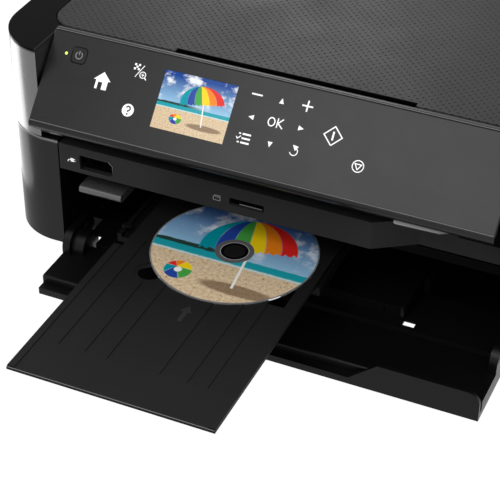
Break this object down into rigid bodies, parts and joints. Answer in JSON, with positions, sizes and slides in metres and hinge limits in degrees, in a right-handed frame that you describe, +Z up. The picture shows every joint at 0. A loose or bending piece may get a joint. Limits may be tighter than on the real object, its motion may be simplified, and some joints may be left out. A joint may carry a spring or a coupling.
{
  "type": "disc label printer",
  "caption": "Black inkjet printer with flatbed scanner, tilting control panel, folded-down front cover and a tray that carries a disc for label printing.",
  "frame": {"origin": "on the table, under the middle of the overall box (case plus the disc tray in front of it)", "axes": "+X to the printer's right seen from its front, +Y from its front to its rear, +Z up"},
  "size_m": [0.446, 0.568, 0.1889],
  "materials": {
    "case_black": "satin black case plastic",
    "gloss_black": "polished black",
    "lid_texture": "dark grey, finely dotted",
    "panel_skin": "polished dark grey skin",
    "inner_black": "plain black moulding",
    "screen": "colour screen behind clear cover",
    "key_black": "satin key",
    "light_green": "lit indicator",
    "bar_grey": "light grey",
    "lever_grey": "mid grey",
    "tray_grey": "dark grey tray",
    "disc_print": "printable disc with label artwork",
    "steel": "plated sheet steel",
    "shaft_steel": "ground and polished",
    "rubber_black": "soft rubber",
    "rubber_grey": "roller rubber",
    "socket_metal": "plated shell",
    "board_green": "circuit board",
    "glass_clear": "clear float glass",
    "white_plastic": "white",
    "foam_white": "white foam and film",
    "felt": "ink felt",
    "tank_plastic": "tank body",
    "supply_case": "moulded case"
  },
  "bodies": {
    "printer_body": {"base_pan": "inner_black", "rubber_feet": "rubber_black", "waste_ink_pad": "felt", "left_side_cover": "case_black", "right_side_cover": "case_black", "rear_cover": "case_black", "rear_cover_screws": "steel", "mains_inlet": "supply_case", "data_socket": "socket_metal", "front_fascia": "inner_black", "usb_socket": "socket_metal", "card_reader": "inner_black", "cover_pivot_pins": "inner_black", "disc_guide": "inner_black", "lever_pin": "shaft_steel", "chassis": "steel", "carriage_shaft": "shaft_steel", "carriage_belt": "rubber_black", "carriage_motor": "steel", "platen": "inner_black", "feed_belts": "rubber_black", "feed_motor": "steel", "pinch_roller_bar": "inner_black", "maintenance_station": "tray_grey", "main_board": "board_green", "power_supply": "supply_case", "scanner_hinge_pins": "shaft_steel"},
    "scanner_unit": {"scanner_housing": "gloss_black", "scanner_glass": "glass_clear", "scan_rod": "shaft_steel", "lid_hinge_pins": "shaft_steel", "panel_hinge_pins": "shaft_steel"},
    "document_lid": {"document_lid": "lid_texture", "lid_inner_plate": "white_plastic", "lid_pad": "foam_white"},
    "control_panel": {"control_panel_front": "panel_skin", "control_panel_back": "inner_black", "display_screen": "screen", "panel_board": "board_green", "status_light": "light_green"},
    "power_button": {"power_button": "key_black"},
    "release_bar": {"panel_release_bar": "bar_grey"},
    "front_cover": {"front_cover": "gloss_black"},
    "paper_tray": {"paper_tray": "tray_grey"},
    "tray_extension": {"tray_extension": "inner_black"},
    "disc_tray": {"disc_tray": "tray_grey", "disc": "disc_print"},
    "carriage": {"ink_carriage": "inner_black", "print_head": "supply_case", "ink_tanks": "tank_plastic"},
    "motor_pulley": {"motor_pulley": "steel"},
    "idler_pulley": {"idler_pulley": "white_plastic"},
    "feed_roller": {"feed_roller": "rubber_grey"},
    "exit_roller": {"exit_roller": "rubber_grey"},
    "feed_motor_pulley": {"feed_motor_pulley": "white_plastic"},
    "pinch_rollers": {"pinch_rollers": "rubber_grey"},
    "disc_lever": {"disc_lever": "lever_grey"},
    "scan_carriage": {"scan_carriage": "inner_black"},
    "paper_support": {"paper_support": "case_black"},
    "edge_guide": {"edge_guide": "inner_black"}
  },
  "joints": [
    {"name": "scanner_lift", "type": "hinge", "parent": "printer_body", "child": "scanner_unit", "pos_m": [0, 0.23, 0.116], "axis": [-1, 0, 0], "range_deg": [0, 20]},
    {"name": "lid_hinge", "type": "hinge", "parent": "scanner_unit", "child": "document_lid", "pos_m": [0, 0.1955, 0.1835], "axis": [-1, 0, 0], "range_deg": [0, 80]},
    {"name": "panel_tilt", "type": "hinge", "parent": "scanner_unit", "child": "control_panel", "pos_m": [0, -0.0716, 0.1841], "axis": [1, 0, 0], "range_deg": [-28, 18]},
    {"name": "power_press", "type": "slide", "parent": "control_panel", "child": "power_button", "axis": [0, 0.7431, -0.6691], "range_m": [0, 0.0005], "stiffness_N_per_m": 800, "springref_m": -0.0005},
    {"name": "release_press", "type": "slide", "parent": "control_panel", "child": "release_bar", "axis": [0, 0.6691, 0.7431], "range_m": [0, 0.0025], "stiffness_N_per_m": 200, "springref_m": -0.0025},
    {"name": "cover_fold", "type": "hinge", "parent": "printer_body", "child": "front_cover", "pos_m": [0, -0.0816, 0.0273], "axis": [1, 0, 0], "range_deg": [-42, 0]},
    {"name": "paper_tray_slide", "type": "slide", "parent": "printer_body", "child": "paper_tray", "axis": [0, -1, 0], "range_m": [0, 0.06]},
    {"name": "extension_slide", "type": "slide", "parent": "paper_tray", "child": "tray_extension", "axis": [0, -1, 0], "range_m": [0, 0.11]},
    {"name": "disc_tray_slide", "type": "slide", "parent": "printer_body", "child": "disc_tray", "axis": [0, 1, 0], "range_m": [-0.08, 0.12]},
    {"name": "carriage_travel", "type": "slide", "parent": "printer_body", "child": "carriage", "axis": [-1, 0, 0], "range_m": [0, 0.205]},
    {"name": "motor_pulley_turn", "type": "hinge", "parent": "printer_body", "child": "motor_pulley", "pos_m": [0.148, 0.102, 0.098], "axis": [0, 1, 0], "range_deg": [-5, 1700]},
    {"name": "idler_turn", "type": "hinge", "parent": "printer_body", "child": "idler_pulley", "pos_m": [-0.148, 0.102, 0.098], "axis": [0, 1, 0], "range_deg": [-5, 1700]},
    {"name": "feed_turn", "type": "hinge", "parent": "printer_body", "child": "feed_roller", "pos_m": [0, 0.076, 0.056], "axis": [1, 0, 0], "continuous": true},
    {"name": "exit_turn", "type": "hinge", "parent": "printer_body", "child": "exit_roller", "pos_m": [0, -0.008, 0.056], "axis": [1, 0, 0], "continuous": true},
    {"name": "feed_motor_turn", "type": "hinge", "parent": "printer_body", "child": "feed_motor_pulley", "pos_m": [-0.154, 0.122, 0.0385], "axis": [1, 0, 0], "continuous": true},
    {"name": "pinch_turn", "type": "hinge", "parent": "printer_body", "child": "pinch_rollers", "pos_m": [0, 0.078, 0.069], "axis": [1, 0, 0], "continuous": true},
    {"name": "lever_tip", "type": "hinge", "parent": "printer_body", "child": "disc_lever", "pos_m": [-0.138, -0.036, 0.0764], "axis": [1, 0, 0], "range_deg": [0, 15]},
    {"name": "scan_travel", "type": "slide", "parent": "scanner_unit", "child": "scan_carriage", "axis": [1, 0, 0], "range_m": [0, 0.27]},
    {"name": "support_slide", "type": "slide", "parent": "printer_body", "child": "paper_support", "axis": [0, 0, 1], "range_m": [0, 0.08]},
    {"name": "guide_slide", "type": "slide", "parent": "printer_body", "child": "edge_guide", "axis": [-1, 0, 0], "range_m": [0, 0.08]}
  ],
  "couplings": [
    {"joint": "motor_pulley_turn", "follows": "carriage_travel", "rad_per_m": 142.86},
    {"joint": "idler_turn", "follows": "carriage_travel", "rad_per_m": 142.86},
    {"joint": "exit_turn", "follows": "feed_turn", "ratio": 1},
    {"joint": "feed_motor_turn", "follows": "feed_turn", "ratio": 1}
  ]
}
